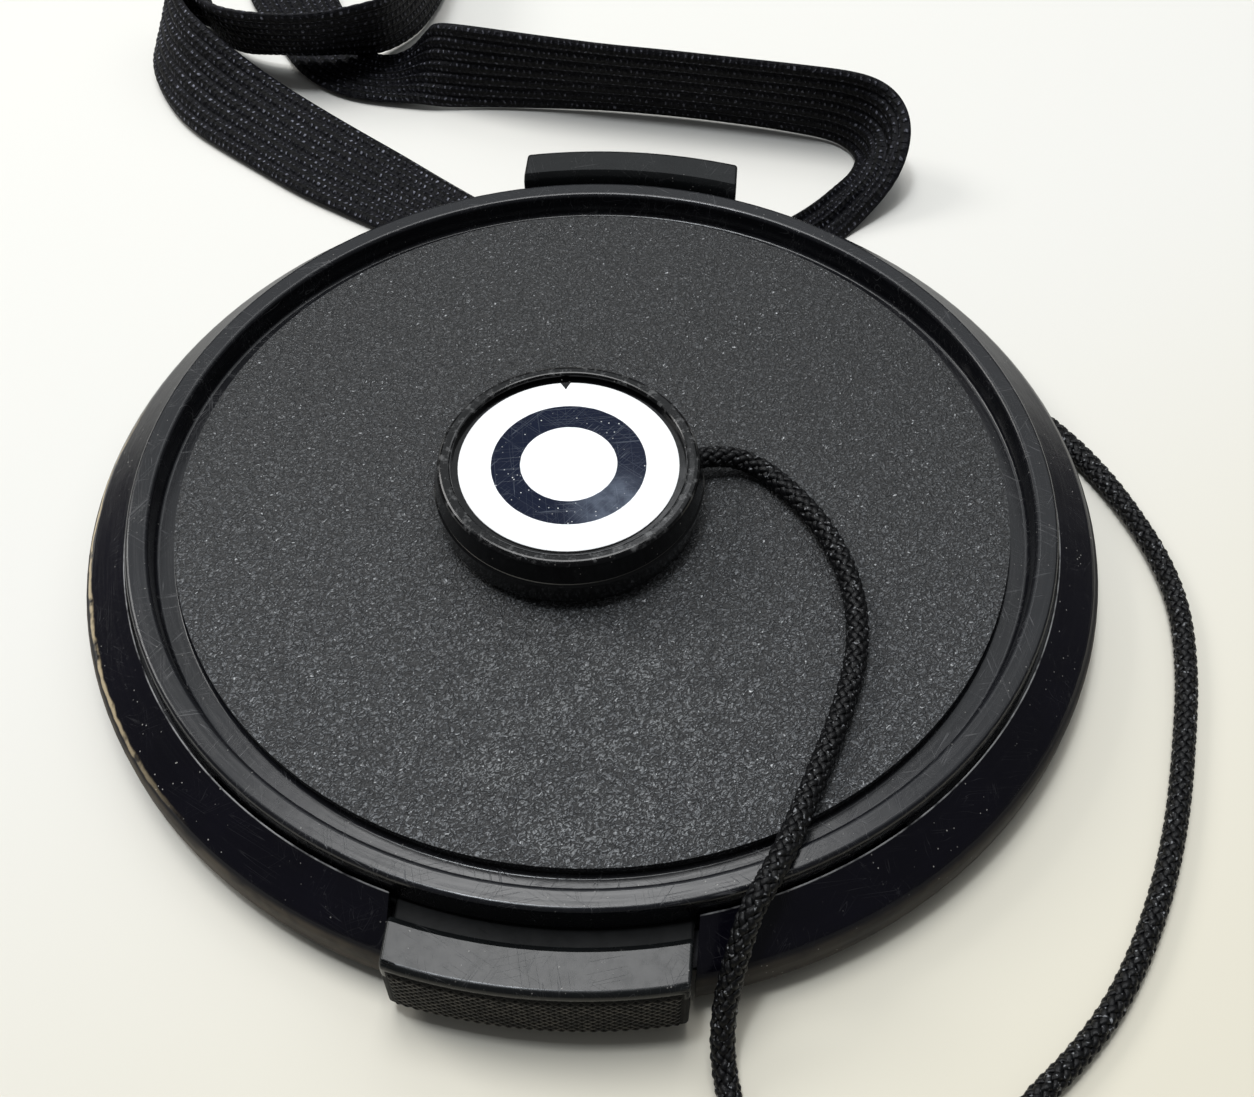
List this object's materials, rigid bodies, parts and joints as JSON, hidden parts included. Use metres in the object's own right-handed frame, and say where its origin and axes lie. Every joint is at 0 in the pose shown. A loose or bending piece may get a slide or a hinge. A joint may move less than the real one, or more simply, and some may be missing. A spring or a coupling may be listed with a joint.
{
  "type": "lens cap with keeper leash",
  "caption": "Pinch-fit lens cap with two sliding finger tabs and a stick-on keeper: a round button, a braided cord and a flat elastic loop for the lens barrel.",
  "frame": {"origin": "on the cap's axis in the plane of the face that seats on the lens rim", "axes": "+Z along the cap's axis, out of the face that carries the button; the front tab is along -Y, the rear tab along +Y"},
  "size_m": [0.0975, 0.1375, 0.0112],
  "materials": {
    "gloss_black": "moulded, worn gloss",
    "matte_grain": "fine leather grain",
    "button_black": "moulded, worn gloss",
    "label_white": "printed film with a dark ring",
    "steel": "plated",
    "foam": "adhesive foam",
    "braid": "braided cord",
    "elastic": "woven elastic with lengthwise ribs"
  },
  "bodies": {
    "cap": {"cap_body": "gloss_black", "front_cover": "gloss_black", "face_disc": "matte_grain", "cover_screws": "steel", "front_spring_left": "steel", "front_spring_right": "steel", "rear_spring_left": "steel", "rear_spring_right": "steel", "adhesive_pad": "foam", "button_base": "button_black", "button_rim": "button_black", "button_label": "label_white", "button_knot": "braid", "cord": "braid", "elastic_band": "elastic", "band_clamp": "steel"},
    "front_tab": {"front_tab": "gloss_black"},
    "rear_tab": {"rear_tab": "gloss_black"}
  },
  "joints": [
    {"name": "front_tab_slide", "type": "slide", "parent": "cap", "child": "front_tab", "axis": [0, 1, 0], "range_m": [0, 0.0015], "stiffness_N_per_m": 1200, "springref_m": -0.002, "deforming": ["front_spring_left", "front_spring_right"]},
    {"name": "rear_tab_slide", "type": "slide", "parent": "cap", "child": "rear_tab", "axis": [0, -1, 0], "range_m": [0, 0.0015], "stiffness_N_per_m": 1200, "springref_m": -0.002, "deforming": ["rear_spring_left", "rear_spring_right"]}
  ]
}
